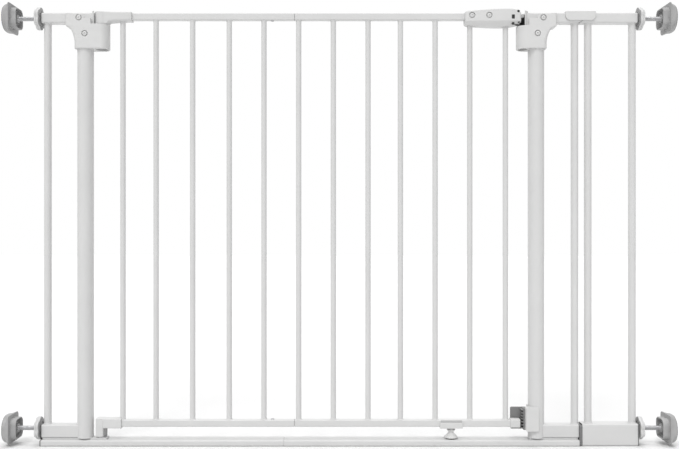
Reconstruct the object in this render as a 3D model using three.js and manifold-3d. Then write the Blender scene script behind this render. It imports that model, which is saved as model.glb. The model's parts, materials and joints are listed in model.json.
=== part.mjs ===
// Safety baby gate for a doorway: a U-frame with a threshold bar, a swinging door, a two-bar
// width extension and four screw-out wall pads.
// Millimetres, +Z up. The gate's face looks along -Y and the door's hinge is on the -X side.
// The origin is on the floor, midway between the two walls.
import * as THREE from "three";
import { mergeVertices } from "three/addons/utils/BufferGeometryUtils.js";
import Module from "manifold-3d";

const wasm = await Module();
wasm.setup();

// ---- Driving dimensions -------------------------------------------------------------------

const GAP = 0.3; // clearance between pieces that touch
const WALL = 1.3; // steel tube wall

const WALL_X = 583; // wall face of the pads, either side of the middle
const FRAME_X = 518; // outer end of the frame's rails
const NUT_X = 520.6; // frame side of the adjusting nuts
const TOP_Z = 753; // top of the frame's rails
const TOP_RAIL = { depth: 20, height: 17.5 };
const LOW_RAIL = { depth: 20, height: 22.7 };
const THRESHOLD = { depth: 29.5, height: 10.7, seam: -97 };
const SEAT = { half: 8.5, height: 2.8 }; // raised strips on the threshold under the columns
const SEAT_TOP = THRESHOLD.height + SEAT.height;

const COLUMN_R = 14;
const RAIL_REACH = { hinge: 11.4, latch: 13.6 }; // how far the top rails run past the columns
const HINGE_COLUMN_X = -444;
const LATCH_COLUMN_X = 343.6;
const BAR_R = 6.4;
const LEFT_BAR_X = -510;
const RIGHT_BAR_X = 410.9;
const JOINT_X = 418.8; // middle of the joint between the frame and the extension
const EXTENSION_BAR_X = [434.2, 511.4];
const EXTENSION_RAIL = { depth: 24, height: 38.5 };
const TOP_SEAM = 0.8; // how far past the joint's middle the frame's top rail ends
const PLATE_HALF = 2.5; // half the thickness of the plate between the bottom rails

const HINGE_X = -414.7; // the door's upright hinge axis
const LATCH_AXIS_X = 312; // middle of the latch side's cradle
const DOOR_TUBE = 12.2; // side of the door's square rails
const DOOR_TOP_Z = 753.4;
const DOOR_LOW_Z = 31.9;
const DOOR_END_X = 313;
const DOOR_TOP_END_X = 305;
const DOOR_SEAM_X = -78.6;
const DOOR_BAR_R = 4.7;
const DOOR_BAR_X = [-378.7, -320.7, -256.8, -192.8, -132.1, -71.4, -10.8, 49.9, 106.5, 167.2, 227.8, 290.1];
const PIVOT_TOP = 33; // top of the bottom pivot pin
const WASHER = 1.2; // thickness of the washer under the hinge elbow
const LIFT = 8; // how far the door lifts on its pins
const LATCH_TRAVEL = 6; // how far the thumb button draws the latch back

const HOUSING = { bottom: 690, top: 732.5 }; // the brackets' round housings
const CRADLE = { inner: 15.4, outer: 17.4, top: 755.6 }; // the C-shaped walls on the housings
const SPINDLE_R = 4;
const SPINDLE_TOP_Z = 744.2;
const SPINDLE_LOW_Z = 29;

const STEEL = { color: 0xe4e4e3, roughness: 0.42, metalness: 0.1 };
const MOULDED = { color: 0xdfdfde, roughness: 0.5, metalness: 0 };
const BLACK = { color: 0x1b1b1c, roughness: 0.6, metalness: 0 };
const ZINC = { color: 0xa9aaab, roughness: 0.35, metalness: 0.9 };

const gate = new THREE.Group();

// ---- Helpers ------------------------------------------------------------------------------

const AXES = {
  x: new THREE.Matrix4().makeBasis(
    new THREE.Vector3(0, 1, 0),
    new THREE.Vector3(0, 0, 1),
    new THREE.Vector3(1, 0, 0),
  ),
  y: new THREE.Matrix4().makeBasis(
    new THREE.Vector3(1, 0, 0),
    new THREE.Vector3(0, 0, 1),
    new THREE.Vector3(0, -1, 0),
  ),
  z: new THREE.Matrix4(),
};

// Adds one named piece to the gate.
function piece(name, geometry, finish) {
  const mesh = new THREE.Mesh(geometry, new THREE.MeshStandardMaterial(finish));
  mesh.name = name;
  gate.add(mesh);
  return mesh;
}

function solid(geometry) {
  const bare = geometry.clone();
  bare.deleteAttribute("normal");
  bare.deleteAttribute("uv");
  const merged = mergeVertices(bare, 1e-4);
  return new wasm.Manifold(
    new wasm.Mesh({
      numProp: 3,
      vertProperties: new Float32Array(merged.attributes.position.array),
      triVerts: new Uint32Array(merged.index.array),
    }),
  );
}

function surface(body) {
  const mesh = body.getMesh();
  const geometry = new THREE.BufferGeometry();
  geometry.setAttribute("position", new THREE.BufferAttribute(mesh.vertProperties, 3));
  geometry.setIndex(new THREE.BufferAttribute(mesh.triVerts, 1));
  const flat = geometry.toNonIndexed();
  flat.computeVertexNormals();
  return flat;
}

// The first geometry with the others cut out of it.
function cut(body, ...tools) {
  const left = tools.reduce((rest, tool) => rest.subtract(solid(tool)), solid(body));
  return surface(left);
}

function join(...parts) {
  return surface(parts.slice(1).reduce((sum, part) => sum.add(solid(part)), solid(parts[0])));
}

function overlap(first, second) {
  return surface(solid(first).intersect(solid(second)));
}

// A block between two corners.
function block(x0, x1, y0, y1, z0, z1) {
  const box = new THREE.BoxGeometry(x1 - x0, y1 - y0, z1 - z0);
  return box.translate((x0 + x1) / 2, (y0 + y1) / 2, (z0 + z1) / 2);
}

function roundedRectangle(width, height, radius) {
  const w = width / 2;
  const h = height / 2;
  const shape = new THREE.Shape();
  shape.moveTo(-w + radius, -h);
  shape.lineTo(w - radius, -h);
  shape.absarc(w - radius, -h + radius, radius, -Math.PI / 2, 0);
  shape.lineTo(w, h - radius);
  shape.absarc(w - radius, h - radius, radius, 0, Math.PI / 2);
  shape.lineTo(-w + radius, h);
  shape.absarc(-w + radius, h - radius, radius, Math.PI / 2, Math.PI);
  shape.lineTo(-w, -h + radius);
  shape.absarc(-w + radius, -h + radius, radius, Math.PI, 1.5 * Math.PI);
  return shape;
}

// An outline pushed along an axis from `from` to `to`. Along x the outline lies in Y-Z, along y in
// X-Z and along z in X-Y.
function prism(shape, axis, from, to, curveSegments = 2) {
  const geometry = new THREE.ExtrudeGeometry(shape, {
    depth: to - from,
    bevelEnabled: false,
    curveSegments,
  });
  geometry.applyMatrix4(AXES[axis]);
  const shift = axis === "y" ? to : from;
  return geometry.translate(
    axis === "x" ? shift : 0,
    axis === "y" ? shift : 0,
    axis === "z" ? shift : 0,
  );
}

// A round rod along an axis, its middle line through the two given coordinates.
function rod(axis, radius, from, to, first, second, sides = 16) {
  const geometry = new THREE.CylinderGeometry(radius, radius, to - from, sides);
  const middle = (from + to) / 2;
  if (axis === "x") return geometry.rotateZ(Math.PI / 2).translate(middle, first, second);
  if (axis === "y") return geometry.translate(first, middle, second);
  return geometry.rotateX(Math.PI / 2).translate(first, second, middle);
}

// A shape turned about an upright axis at (x, y). Its profile runs from the bottom up.
function turned(profile, x, y, sides = 20) {
  const points = profile.map(([r, z]) => new THREE.Vector2(r, z));
  return new THREE.LatheGeometry(points, sides).rotateX(Math.PI / 2).translate(x, y, 0);
}

// An upright round steel tube.
function roundTube(x, radius, z0, z1) {
  const ring = new THREE.Shape();
  ring.absarc(0, 0, radius, 0, 2 * Math.PI);
  const bore = new THREE.Path();
  bore.absarc(0, 0, radius - WALL, 0, 2 * Math.PI, true);
  ring.holes.push(bore);
  return prism(ring, "z", z0, z1, 7).translate(x, 0, 0);
}

// A rectangular steel tube along X, given its section and where its middle line runs.
function rectangularTube({ depth, height }, x0, x1, z, wall = WALL) {
  const outer = roundedRectangle(depth, height, 2.4);
  outer.holes.push(roundedRectangle(depth - 2 * wall, height - 2 * wall, 1.1));
  return prism(outer, "x", x0, x1).translate(0, 0, z);
}

// The same tube with its outer end closed by a wall that the spindle passes through.
function closedRail(section, x0, x1, z, spindleZ) {
  const side = Math.sign(x0 + x1);
  const end = side < 0 ? x0 : x1;
  const tube = rectangularTube(section, x0, x1, z);
  const cap = prism(
    roundedRectangle(section.depth - 2, section.height - 2, 1.6),
    "x",
    Math.min(end, end - side * 2),
    Math.max(end, end - side * 2),
  ).translate(0, 0, z);
  const hole = rod("x", SPINDLE_R + 0.6, end - 4, end + 4, 0, spindleZ);
  return cut(join(tube, cap), hole);
}

// ---- Threshold ----------------------------------------------------------------------------

// One half of the threshold bar, with the raised strip that its column and bottom rail stand on.
function thresholdHalf(x0, x1, seat0, seat1) {
  const top = THRESHOLD.height;
  const tube = rectangularTube(THRESHOLD, x0, x1, top / 2);
  return join(tube, block(seat0, seat1, -SEAT.half, SEAT.half, top - 0.5, top + SEAT.height));
}

function buildThreshold() {
  const middle = THRESHOLD.height / 2;
  const end = JOINT_X - PLATE_HALF - GAP;
  const { seam } = THRESHOLD;
  const left = thresholdHalf(-FRAME_X, seam, -FRAME_X + 1, HINGE_X + 10);
  const right = thresholdHalf(seam + GAP, end, LATCH_COLUMN_X - COLUMN_R + 1, end - 1);
  piece("threshold_left", left, STEEL);
  piece("threshold_right", right, STEEL);
  const insert = { depth: THRESHOLD.depth - 4, height: THRESHOLD.height - 4 };
  const reach = 45;
  const joiner = rectangularTube(insert, THRESHOLD.seam - reach, THRESHOLD.seam + reach, middle, 1);
  piece("threshold_joiner", joiner, ZINC);
}

// ---- U-frame ------------------------------------------------------------------------------

function buildFrame() {
  const floor = SEAT_TOP + GAP;
  const railBottom = TOP_Z - TOP_RAIL.height;
  const railMiddle = TOP_Z - TOP_RAIL.height / 2;
  const lowMiddle = floor + LOW_RAIL.height / 2;
  const lowTop = floor + LOW_RAIL.height;

  piece("hinge_column", roundTube(HINGE_COLUMN_X, COLUMN_R, floor, railBottom - GAP), STEEL);
  piece("latch_column", roundTube(LATCH_COLUMN_X, COLUMN_R, floor, railBottom - GAP), STEEL);
  piece("frame_bar_left", roundTube(LEFT_BAR_X, BAR_R, lowTop + GAP, railBottom - GAP), STEEL);
  piece("frame_bar_right", roundTube(RIGHT_BAR_X, BAR_R, lowTop + GAP, railBottom - GAP), STEEL);

  const leftTopEnd = HINGE_COLUMN_X + RAIL_REACH.hinge;
  const leftTop = closedRail(TOP_RAIL, -FRAME_X, leftTopEnd, railMiddle, SPINDLE_TOP_Z);
  piece("top_rail_left", leftTop, STEEL);
  const rightTopStart = LATCH_COLUMN_X - RAIL_REACH.latch;
  const rightTop = rectangularTube(TOP_RAIL, rightTopStart, JOINT_X + TOP_SEAM, railMiddle);
  piece("top_rail_right", rightTop, STEEL);

  // The bottom rails end in saddles against the round columns.
  const saddle = (x) => rod("z", COLUMN_R + GAP, 0, lowTop + 5, x, 0, 32);
  const leftLow = closedRail(LOW_RAIL, -FRAME_X, HINGE_COLUMN_X - 5, lowMiddle, SPINDLE_LOW_Z);
  piece("bottom_rail_left", cut(leftLow, saddle(HINGE_COLUMN_X)), STEEL);
  const rightEnd = JOINT_X - PLATE_HALF - GAP;
  const rightLow = rectangularTube(LOW_RAIL, LATCH_COLUMN_X + 5, rightEnd, lowMiddle);
  piece("bottom_rail_right", cut(rightLow, saddle(LATCH_COLUMN_X)), STEEL);
}

// ---- Corner brackets ----------------------------------------------------------------------

// The front outline of a bracket, drawn for the hinge side with x from the column's middle
// towards the door.
function bracketOutline({ nose, flange, axis, top }) {
  const shape = new THREE.Shape();
  const shelf = 742;
  const shelfEnd = axis - CRADLE.outer + 1;
  shape.moveTo(-COLUMN_R - 2.5, HOUSING.bottom);
  shape.lineTo(nose, HOUSING.bottom);
  shape.lineTo(nose, top);
  shape.lineTo(shelfEnd, top);
  shape.lineTo(shelfEnd, shelf);
  shape.lineTo(0, shelf);
  shape.lineTo(-4, 748);
  shape.lineTo(-flange, 751);
  shape.lineTo(-flange, 729);
  shape.quadraticCurveTo(-19, 724, -COLUMN_R - 2.5, 700);
  return shape;
}

// The plan outline: straight sides with a rounded nose around the housing.
function bracketPlan({ nose, noseLength, flange }) {
  const half = 17;
  const corner = 4;
  const shape = new THREE.Shape();
  const centre = nose - noseLength;
  shape.moveTo(-flange + corner, -half);
  shape.lineTo(centre, -half);
  shape.absellipse(centre, 0, noseLength, half, -Math.PI / 2, Math.PI / 2, false);
  shape.lineTo(-flange + corner, half);
  shape.absarc(-flange + corner, half - corner, corner, Math.PI / 2, Math.PI);
  shape.lineTo(-flange, -half + corner);
  shape.absarc(-flange + corner, -half + corner, corner, Math.PI, 1.5 * Math.PI);
  return shape;
}

// The C-shaped wall that stands on the housing around the end of the door's top rail.
function arcWall(axisX, inner, outer, front, back, z0, z1) {
  const start = Math.PI - THREE.MathUtils.degToRad(back);
  const end = Math.PI + THREE.MathUtils.degToRad(front);
  const wall = new THREE.Shape();
  wall.absarc(axisX, 0, outer, start, end, false);
  wall.absarc(axisX, 0, inner, end, start, true);
  return prism(wall, "z", z0, z1, 10);
}

// A whole bracket in the hinge side's coordinates: the rail's channel is open at the top, the
// column comes up from below, and the housing is hollow. The cradle's wall is thickened behind the
// rail's end, so that it meets the rail face to face.
function bracket(form) {
  const { axis, top, front, back, flange, railEnd } = form;
  const body = overlap(
    prism(bracketOutline(form), "y", -17, 17, 6),
    prism(bracketPlan(form), "z", HOUSING.bottom - 1, CRADLE.top, 8),
  );
  const railBottom = TOP_Z - TOP_RAIL.height;
  const half = TOP_RAIL.depth / 2 + GAP;
  const channelEnd = railEnd + GAP;
  const channel = block(-flange - 5, channelEnd, -half, half, railBottom - GAP, TOP_Z + 5);
  const column = rod("z", COLUMN_R + GAP, HOUSING.bottom - 1, railBottom, 0, 0, 24);
  const wall = arcWall(axis, CRADLE.inner, CRADLE.outer, front, back, top - 2, CRADLE.top);
  const filling = block(channelEnd - 1, axis, -half, half, top - 1, TOP_Z - 1);
  const seat = rod("z", CRADLE.inner, top, CRADLE.top + 1, axis, 0, 40);
  return cut(join(body, wall, filling), channel, column, seat, ...form.hollows);
}

function buildHingeBracket() {
  const axis = HINGE_X - HINGE_COLUMN_X;
  const { bottom, top } = HOUSING;
  const hollow = rod("z", 11, bottom - 1, top - 7, axis, 0, 20);
  const pinHole = rod("z", 5 + GAP, bottom, top + 1, axis, 0);
  const form = {
    nose: axis + 13.2,
    noseLength: 13.2,
    flange: 30.5,
    railEnd: RAIL_REACH.hinge,
    axis,
    top,
    front: 42,
    back: 42,
    hollows: [hollow, pinHole],
  };
  piece("hinge_bracket", bracket(form).translate(HINGE_COLUMN_X, 0, 0), MOULDED);
}

// The latch side's bracket is the hinge side's turned half round, with a shorter, flatter housing
// whose top lies a little lower. Once turned, its cradle reaches further round the back, where it
// stops the closed door, and it has a black lining.
function buildLatchBracket() {
  const axis = LATCH_COLUMN_X - LATCH_AXIS_X;
  const top = 730;
  const front = 84;
  const back = 52;
  const oval = new THREE.Shape();
  oval.absellipse(23.5, 0, 8, 11.5, 0, 2 * Math.PI);
  const form = {
    nose: 34.8,
    noseLength: 20.8,
    flange: 33,
    railEnd: RAIL_REACH.latch,
    axis,
    top,
    front,
    back,
    hollows: [prism(oval, "z", HOUSING.bottom - 1, top - 7, 10)],
  };
  const onColumn = (geometry) => geometry.rotateZ(Math.PI).translate(LATCH_COLUMN_X, 0, 0);
  piece("latch_bracket", onColumn(bracket(form)), MOULDED);
  const outer = CRADLE.inner - GAP;
  const lining = arcWall(axis, outer - 2, outer, front - 2, back - 2, top + GAP, 748.7);
  piece("latch_catch_lining", onColumn(lining), BLACK);
}

// ---- Bottom stop and pivot ----------------------------------------------------------------

// A clip on the latch column whose tongue stands behind the end of the door's bottom rail.
function buildBottomStop() {
  const left = 322;
  const right = 345.5;
  const half = 17;
  const bottom = 26;
  const top = 68;
  const tongueEnd = 300.5;
  const tongueTop = 64;
  const clip = block(left, right, -half, half, bottom, top);
  const tongue = block(tongueEnd, left + 1, 8.2, 12.5, bottom, tongueTop);
  const rib = block(left - 5, left + 1, -4, 9, bottom, tongueTop);
  const column = rod("z", COLUMN_R + GAP, bottom - 5, top + 5, LATCH_COLUMN_X, 0, 24);
  piece("bottom_stop", cut(join(clip, tongue, rib), column), MOULDED);
}

function buildBottomPivot() {
  const z = SEAT_TOP + GAP;
  const profile = [
    [0, z],
    [8.5, z],
    [8.5, z + WASHER],
    [4, z + WASHER],
    [4, PIVOT_TOP - 1],
    [3, PIVOT_TOP],
    [0, PIVOT_TOP],
  ];
  piece("bottom_pivot", turned(profile, HINGE_X, 0), ZINC);
}

// ---- Width extension ----------------------------------------------------------------------

function buildExtension() {
  const railMiddle = TOP_Z - TOP_RAIL.height / 2;
  const railBottom = TOP_Z - TOP_RAIL.height;
  const start = JOINT_X + TOP_SEAM + GAP;
  const top = closedRail(TOP_RAIL, start, FRAME_X, railMiddle, SPINDLE_TOP_Z);
  piece("extension_top_rail", top, STEEL);
  const lowStart = JOINT_X + PLATE_HALF + GAP;
  const low = closedRail(EXTENSION_RAIL, lowStart, FRAME_X, EXTENSION_RAIL.height / 2, SPINDLE_LOW_Z);
  piece("extension_bottom_rail", low, STEEL);
  ["inner", "outer"].forEach((side, i) => {
    const bar = roundTube(EXTENSION_BAR_X[i], BAR_R, EXTENSION_RAIL.height + GAP, railBottom - GAP);
    piece(`extension_bar_${side}`, bar, STEEL);
  });

  const plate = roundedRectangle(EXTENSION_RAIL.depth + 2, EXTENSION_RAIL.height - 2.5, 2);
  const plateGeometry = prism(plate, "x", JOINT_X - PLATE_HALF, JOINT_X + PLATE_HALF);
  piece("extension_joint_plate", plateGeometry.translate(0, 0, EXTENSION_RAIL.height / 2 - 1.25), BLACK);

  buildExtensionClip();
}

// The clip sits over the joint of the top rails like a saddle with rounded lower corners.
function buildExtensionClip() {
  const reach = 26.5;
  const foot = 17;
  const halfDepth = 13;
  const bottom = 739;
  const shoulder = 748;
  const top = 755.5;
  const outline = new THREE.Shape();
  outline.moveTo(-foot, bottom);
  outline.lineTo(foot, bottom);
  outline.quadraticCurveTo(reach - 1, bottom + 0.5, reach, shoulder);
  outline.lineTo(reach, top);
  outline.lineTo(-reach, top);
  outline.lineTo(-reach, shoulder);
  outline.quadraticCurveTo(1 - reach, bottom + 0.5, -foot, bottom);
  const half = TOP_RAIL.depth / 2 + GAP;
  const channel = block(-reach - 1, reach + 1, -half, half, bottom - 1, TOP_Z + GAP);
  const clip = cut(prism(outline, "y", -halfDepth, halfDepth, 6), channel);
  piece("extension_clip", clip.translate(JOINT_X, 0, 0), MOULDED);
}

// ---- Wall mounts --------------------------------------------------------------------------

// The adjusting nut: a handwheel with six lobes, bored for the spindle.
function nutShape() {
  const shape = new THREE.Shape();
  const lobes = 6;
  const steps = 36;
  for (let i = 0; i < steps; i++) {
    const angle = (i / steps) * 2 * Math.PI;
    const radius = 18.6 + 1.4 * Math.cos(lobes * (angle - Math.PI / 2));
    const x = radius * Math.cos(angle);
    const y = radius * Math.sin(angle);
    if (i === 0) shape.moveTo(x, y);
    else shape.lineTo(x, y);
  }
  const bore = new THREE.Path();
  bore.absarc(0, 0, SPINDLE_R + GAP, 0, 2 * Math.PI, true);
  shape.holes.push(bore);
  return shape;
}

// A wall pad with its wall face at x = 0: a round-cornered plate, a squarer rim, and a hollow square
// body that is open on the +X side, with the spindle's socket inside it.
function padGeometry() {
  const plate = prism(roundedRectangle(50, 49, 22), "x", 0, 8, 4);
  const rim = prism(roundedRectangle(49, 49.4, 6), "x", 7.5, 12.5, 3);
  const body = prism(roundedRectangle(36, 36, 10), "x", 12, 23, 4);
  const hollow = prism(roundedRectangle(32, 32, 8), "x", 15, 24, 4);
  const hub = rod("x", 7.5, 14, 22, 0, 0);
  const socket = rod("x", SPINDLE_R + GAP, 14, 24, 0, 0);
  return cut(join(cut(join(plate, rim, body), hollow), hub), socket);
}

function buildWallMount(name, side, z) {
  const place = (geometry) => {
    if (side > 0) geometry.rotateZ(Math.PI);
    return geometry.translate(0, 0, z);
  };
  const spindle = rod("x", SPINDLE_R, 0, 95, 0, 0);
  piece(`spindle_${name}`, place(spindle.translate(-WALL_X + 14 + GAP, 0, 0)), ZINC);
  const wheel = prism(nutShape(), "x", -NUT_X - 8.5, -NUT_X, 8);
  piece(`adjusting_nut_${name}`, place(wheel), MOULDED);
  piece(`wall_pad_${name}`, place(padGeometry().translate(-WALL_X, 0, 0)), MOULDED);
}

function buildWallMounts() {
  buildWallMount("top_left", -1, SPINDLE_TOP_Z);
  buildWallMount("bottom_left", -1, SPINDLE_LOW_Z);
  buildWallMount("top_right", 1, SPINDLE_TOP_Z);
  buildWallMount("bottom_right", 1, SPINDLE_LOW_Z);
}

// ---- Door ---------------------------------------------------------------------------------

const SQUARE = { depth: DOOR_TUBE, height: DOOR_TUBE };

// The right half of a door rail, with a narrowed end that plugs into the left half.
function spigotRail(x1, z) {
  const side = DOOR_TUBE - 2 * WALL - 2 * GAP;
  const tube = rectangularTube(SQUARE, DOOR_SEAM_X + GAP, x1, z);
  const plug = prism(roundedRectangle(side, side, 1), "x", DOOR_SEAM_X - 38, DOOR_SEAM_X + 6);
  const neck = prism(roundedRectangle(11, 11, 1), "x", DOOR_SEAM_X + GAP + 0.2, DOOR_SEAM_X + 6);
  return join(tube, plug.translate(0, 0, z), neck.translate(0, 0, z));
}

function buildDoorFrame() {
  const topMiddle = DOOR_TOP_Z - DOOR_TUBE / 2;
  const lowMiddle = DOOR_LOW_Z + DOOR_TUBE / 2;
  const start = HINGE_X + 16;
  piece("door_top_rail_left", rectangularTube(SQUARE, start, DOOR_SEAM_X, topMiddle), STEEL);
  piece("door_bottom_rail_left", rectangularTube(SQUARE, start, DOOR_SEAM_X, lowMiddle), STEEL);

  const slotStart = LATCH_POST.x0 - LATCH_TRAVEL - 0.5;
  const slot = block(slotStart, DOOR_TOP_END_X + 1, -2.8, 2.8, topMiddle, DOOR_TOP_Z + 1);
  piece("door_top_rail_right", cut(spigotRail(DOOR_TOP_END_X, topMiddle), slot), STEEL);
  const footHole = rod("z", 4.6, 20, lowMiddle, FOOT_X, 0);
  piece("door_bottom_rail_right", cut(spigotRail(DOOR_END_X, lowMiddle), footHole), STEEL);

  DOOR_BAR_X.forEach((x, i) => {
    const bottom = DOOR_LOW_Z + DOOR_TUBE + GAP;
    const top = DOOR_TOP_Z - DOOR_TUBE - GAP;
    const number = String(i + 1).padStart(2, "0");
    piece(`door_bar_${number}`, roundTube(x, DOOR_BAR_R, bottom, top), STEEL);
  });

  const capStart = DOOR_END_X - 15;
  const capSide = DOOR_TUBE + 3.4;
  const socketSide = DOOR_TUBE + 2 * GAP;
  const cap = prism(roundedRectangle(capSide, capSide, 2), "x", capStart, DOOR_END_X + 2);
  const socket = prism(
    roundedRectangle(socketSide, socketSide, 2.2),
    "x",
    capStart - 1,
    DOOR_END_X + GAP,
  );
  piece("door_end_cap", cut(cap, socket).translate(0, 0, lowMiddle), MOULDED);
}

// The hinge cap: a round hub over the pin that runs out into a sleeve on the top rail.
function buildHingeCap() {
  const end = -362;
  const hubR = 12.6;
  const armHalf = 11;
  const endHalf = 9.8;
  const plan = new THREE.Shape();
  const meet = Math.asin(armHalf / hubR);
  plan.absarc(HINGE_X, 0, hubR, meet, 2 * Math.PI - meet, false);
  plan.lineTo(end, -endHalf);
  plan.lineTo(end, endHalf);
  const front = new THREE.Shape();
  front.moveTo(HINGE_X - hubR, HOUSING.top + 0.5);
  front.lineTo(HINGE_X + 13, HOUSING.top + 0.5);
  front.quadraticCurveTo(HINGE_X + 14, 737.4, HINGE_X + 17, 737.6);
  front.lineTo(end, 739.2);
  front.lineTo(end, 754.8);
  front.lineTo(-396, 754.8);
  front.lineTo(HINGE_X - hubR, 756.2);
  const body = overlap(
    prism(plan, "z", HOUSING.top, 758, 14),
    prism(front, "y", -hubR, hubR, 6),
  );
  const half = DOOR_TUBE / 2 + GAP;
  const middle = DOOR_TOP_Z - DOOR_TUBE / 2;
  const socket = block(HINGE_X + 16 - GAP, end + 1, -half, half, middle - half, middle + half);
  const bar = rod("z", DOOR_BAR_R + GAP, 730, 742, DOOR_BAR_X[0], 0);
  const pin = rod("z", 5 + GAP, 730, 748, HINGE_X, 0);
  piece("hinge_cap", cut(body, socket, bar, pin), MOULDED);

  const profile = [
    [0, 692],
    [4.2, 692],
    [5, 693.5],
    [5, 747.5],
    [0, 747.5],
  ];
  piece("top_hinge_pin", turned(profile, HINGE_X, 0, 16), ZINC);
}

// The elbow at the bottom of the hinge side: a sleeve on the bottom rail with a leg that turns on
// the pivot pin.
function buildHingeElbow() {
  const end = -380;
  const armTop = 46.8;
  const leg = rod("z", 9.7, SEAT_TOP + WASHER + 2 * GAP, armTop, HINGE_X, 0, 20);
  const arm = prism(roundedRectangle(17, armTop - 29.7, 2), "x", HINGE_X, end).translate(
    0,
    0,
    (armTop + 29.7) / 2,
  );
  const middle = DOOR_LOW_Z + DOOR_TUBE / 2;
  const half = DOOR_TUBE / 2 + GAP;
  const socket = block(HINGE_X + 16 - GAP, end + 1, -half, half, middle - half, middle + half);
  const pin = rod("z", 4 + GAP, 10, PIVOT_TOP + LIFT + 2, HINGE_X, 0);
  const bar = rod("z", DOOR_BAR_R + GAP, 40, 50, DOOR_BAR_X[0], 0);
  piece("hinge_elbow", cut(join(leg, arm), socket, pin, bar), MOULDED);
}

// ---- Handle and latch ---------------------------------------------------------------------

const HANDLE = { x0: 218.3, mouth: 313.2, half: 14, mouthHalf: 12.3 };
const NOSE = { start: 313.4, end: 316.6, half: 10.9, bottom: 735.6, top: 755.4 };
const LATCH_POST = { x0: 282, x1: 288 };
const SPRING = { start: 262.5, end: 276, radius: 3.2, wire: 0.9, turns: 5 };
const BUTTON = { x0: 276, x1: 294, half: 6, bottom: 756.4, top: 759.4 };

function handleOutline() {
  const shape = new THREE.Shape();
  shape.moveTo(HANDLE.x0 + 2, 732);
  shape.lineTo(258, 730);
  shape.quadraticCurveTo(282, 728, 302, 730.6);
  shape.lineTo(HANDLE.mouth, 733.5);
  shape.lineTo(HANDLE.mouth, 757.3);
  shape.quadraticCurveTo(292, 761.2, 268, 759);
  shape.lineTo(HANDLE.x0 + 2, 755);
  shape.lineTo(HANDLE.x0, 753);
  shape.lineTo(HANDLE.x0, 734);
  shape.lineTo(HANDLE.x0 + 2, 732);
  return shape;
}

// One shell of the handle: the outline in plan tapers at both ends, and the two shells close
// around the door's top rail.
function handleShell(side) {
  const { x0, mouth, half, mouthHalf } = HANDLE;
  const plan = new THREE.Shape();
  const edge = side * half;
  const split = (side * GAP) / 2;
  const points = [
    [x0, split],
    [mouth, split],
    [mouth, side * mouthHalf],
    [mouth - 20, edge],
    [x0 + 12, edge],
    [x0 + 1.5, edge - side],
    [x0, edge - side * 3],
  ];
  if (side < 0) points.reverse();
  points.forEach(([x, y], i) => (i ? plan.lineTo(x, y) : plan.moveTo(x, y)));
  const body = overlap(prism(plan, "z", 725, 765), prism(handleOutline(), "y", -half, half, 8));
  const tube = DOOR_TUBE / 2 + GAP;
  const middle = DOOR_TOP_Z - DOOR_TUBE / 2;
  const channel = block(x0 - 1, mouth + 1, -tube, tube, middle - tube, middle + tube);
  const bars = DOOR_BAR_X.slice(-2).map((x) => rod("z", DOOR_BAR_R + GAP, 725, 745, x, 0));
  const { x0: b0, x1: b1 } = BUTTON;
  const buttonWell = block(
    b0 - LATCH_TRAVEL - GAP,
    b1 + GAP,
    -BUTTON.half - GAP,
    BUTTON.half + GAP,
    BUTTON.bottom - GAP,
    765,
  );
  const postSlot = block(LATCH_POST.x0 - LATCH_TRAVEL - 0.5, LATCH_POST.x1 + 0.5, -2.8, 2.8, 750, 765);
  const neck = block(
    NOSE.start - LATCH_TRAVEL - GAP,
    mouth + 1,
    -NOSE.half - GAP,
    NOSE.half + GAP,
    NOSE.bottom - GAP,
    NOSE.top + GAP,
  );
  return cut(body, channel, ...bars, buttonWell, postSlot, neck);
}

// The slider: nose, stem inside the top rail, post and thumb button in one moulding.
function buildLatchSlider() {
  const middle = DOOR_TOP_Z - DOOR_TUBE / 2;
  const { start, end, half, bottom, top } = NOSE;
  const front = new THREE.Shape();
  front.moveTo(start, bottom);
  front.lineTo(start + 0.8, bottom);
  front.quadraticCurveTo(end, bottom + 0.5, end, bottom + 5);
  front.lineTo(end, top - 6);
  front.quadraticCurveTo(end, top - 0.5, start + 0.8, top);
  front.lineTo(start, top);
  const plan = new THREE.Shape();
  plan.moveTo(start, -half);
  plan.lineTo(start + 0.6, -half);
  plan.quadraticCurveTo(end, -half + 1.5, end, -5);
  plan.lineTo(end, 5);
  plan.quadraticCurveTo(end, half - 1.5, start + 0.6, half);
  plan.lineTo(start, half);
  const nose = overlap(prism(front, "y", -15, 15, 5), prism(plan, "z", 725, 760, 5));
  const stemHalf = (DOOR_TUBE - 2 * WALL) / 2 - 0.5;
  const stem = block(SPRING.end + GAP, start + 3, -stemHalf, stemHalf, middle - stemHalf, middle + stemHalf);
  const post = block(LATCH_POST.x0, LATCH_POST.x1, -2.2, 2.2, middle, BUTTON.top - 1);
  const button = prism(
    roundedRectangle(BUTTON.x1 - BUTTON.x0, 2 * BUTTON.half, 3),
    "z",
    BUTTON.bottom,
    BUTTON.top,
  ).translate((BUTTON.x0 + BUTTON.x1) / 2, 0, 0);
  piece("latch_slider", join(nose, stem, post, button), MOULDED);
}

class Helix extends THREE.Curve {
  constructor(radius, length, turns) {
    super();
    Object.assign(this, { radius, length, turns });
  }
  getPoint(t, target = new THREE.Vector3()) {
    const angle = t * this.turns * 2 * Math.PI;
    return target.set(t * this.length, this.radius * Math.cos(angle), this.radius * Math.sin(angle));
  }
}

function buildLatchSpring() {
  const wire = new THREE.Shape();
  wire.absarc(0, 0, SPRING.wire / 2, 0, 2 * Math.PI);
  const geometry = new THREE.ExtrudeGeometry(wire, {
    steps: SPRING.turns * 10,
    curveSegments: 2,
    bevelEnabled: false,
    extrudePath: new Helix(SPRING.radius, SPRING.end - SPRING.start, SPRING.turns),
  });
  piece("latch_spring", geometry.translate(SPRING.start, 0, DOOR_TOP_Z - DOOR_TUBE / 2), ZINC);
}

// ---- Door foot ----------------------------------------------------------------------------

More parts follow.
